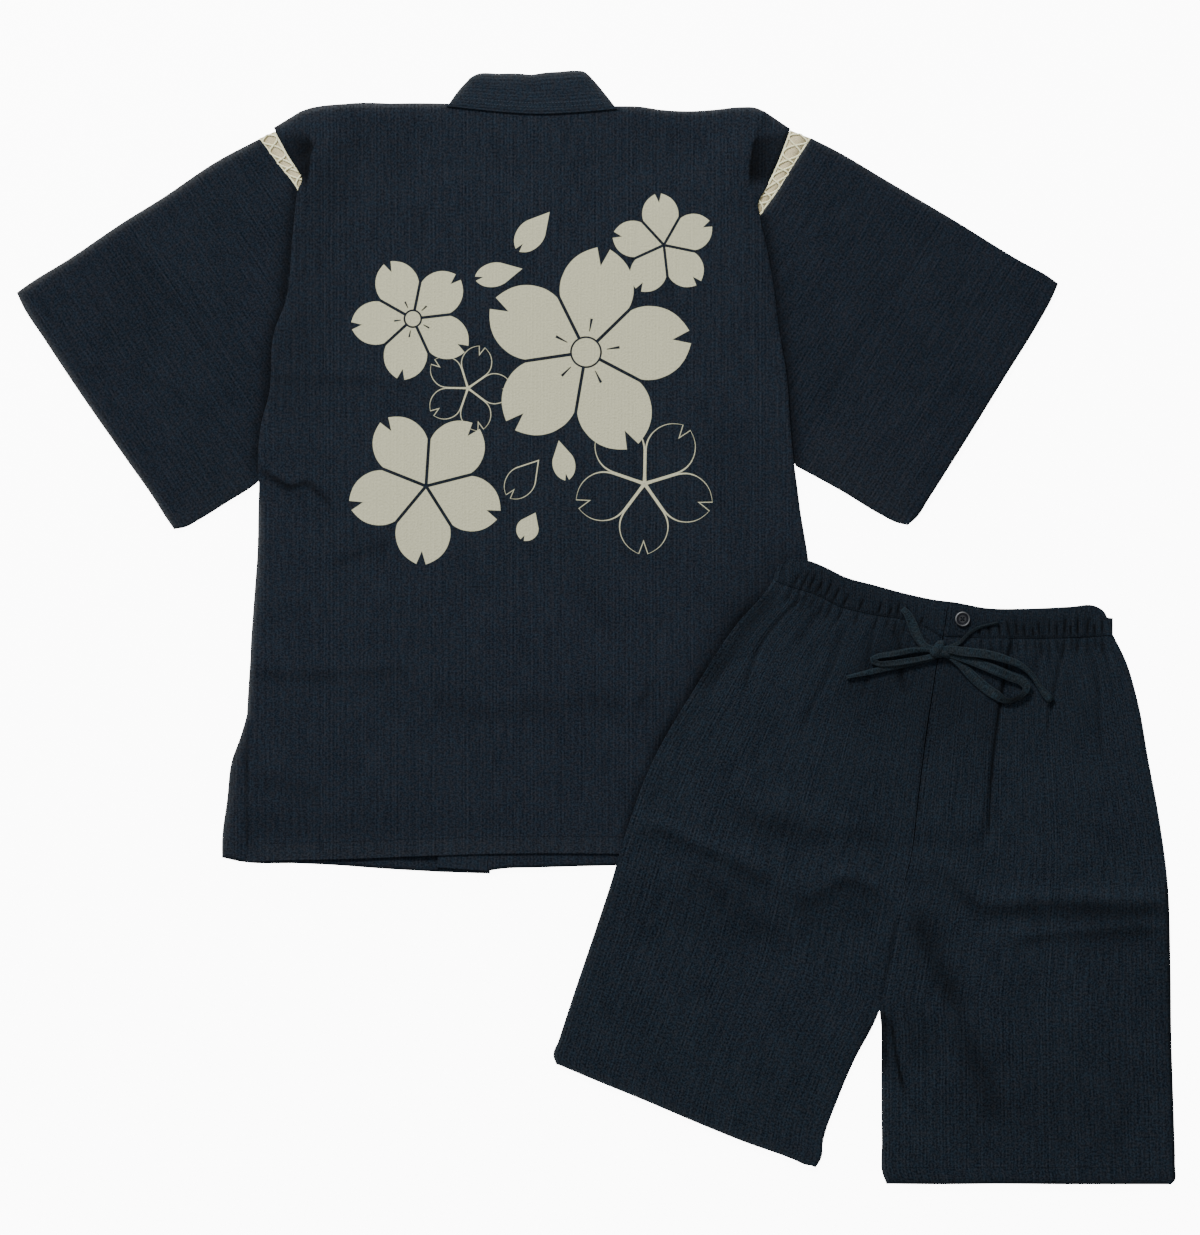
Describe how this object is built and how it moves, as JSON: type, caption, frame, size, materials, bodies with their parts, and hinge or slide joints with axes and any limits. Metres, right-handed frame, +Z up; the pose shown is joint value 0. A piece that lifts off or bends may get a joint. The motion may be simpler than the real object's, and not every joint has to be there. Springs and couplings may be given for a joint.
{
  "type": "jinbei",
  "caption": "Dark navy cotton jinbei laid flat: a crossover jacket, face down, with lace let in at its armholes and a pale blossom print, and drawstring shorts over its corner.",
  "frame": {"origin": "on the floor under the middle of the set's bounding box", "axes": "+X across the jacket from its left sleeve to the shorts, +Y from the hems to the collar, +Z up from the floor that the set lies on"},
  "size_m": [1.1587, 1.1133, 0.0138],
  "materials": {
    "jacket": "matt crinkled cotton",
    "sleeve": "matt crinkled cotton",
    "collar": "matt crinkled cotton",
    "shorts": "matt crinkled cotton",
    "lace": "cotton tape and cord",
    "button": "satin"
  },
  "bodies": {
    "root": {"jacket_back": "jacket", "jacket_front_left": "jacket", "jacket_front_right": "jacket", "neckband_back": "collar", "neckband_left": "collar", "neckband_right": "collar", "sleeve_left": "sleeve", "sleeve_right": "sleeve", "lace_left_upper": "lace", "lace_left_lower": "lace", "lace_right_upper": "lace", "lace_right_lower": "lace", "tie_outer_left": "jacket", "tie_outer_right": "jacket", "tie_inner_left": "jacket", "tie_inner_right": "jacket", "leg_right_front": "shorts", "leg_right_back": "shorts", "leg_left_front": "shorts", "leg_left_back": "shorts", "waistband_front_right": "shorts", "waistband_front_left": "shorts", "waistband_back": "shorts", "fly_underlap": "shorts", "drawstring_lead_right": "shorts", "drawstring_lead_left": "shorts", "drawstring_tail_right": "shorts", "drawstring_tail_left": "shorts", "drawstring_loop_right": "shorts", "drawstring_loop_left": "shorts", "drawstring_knot": "shorts", "button": "button"}
  },
  "joints": []
}
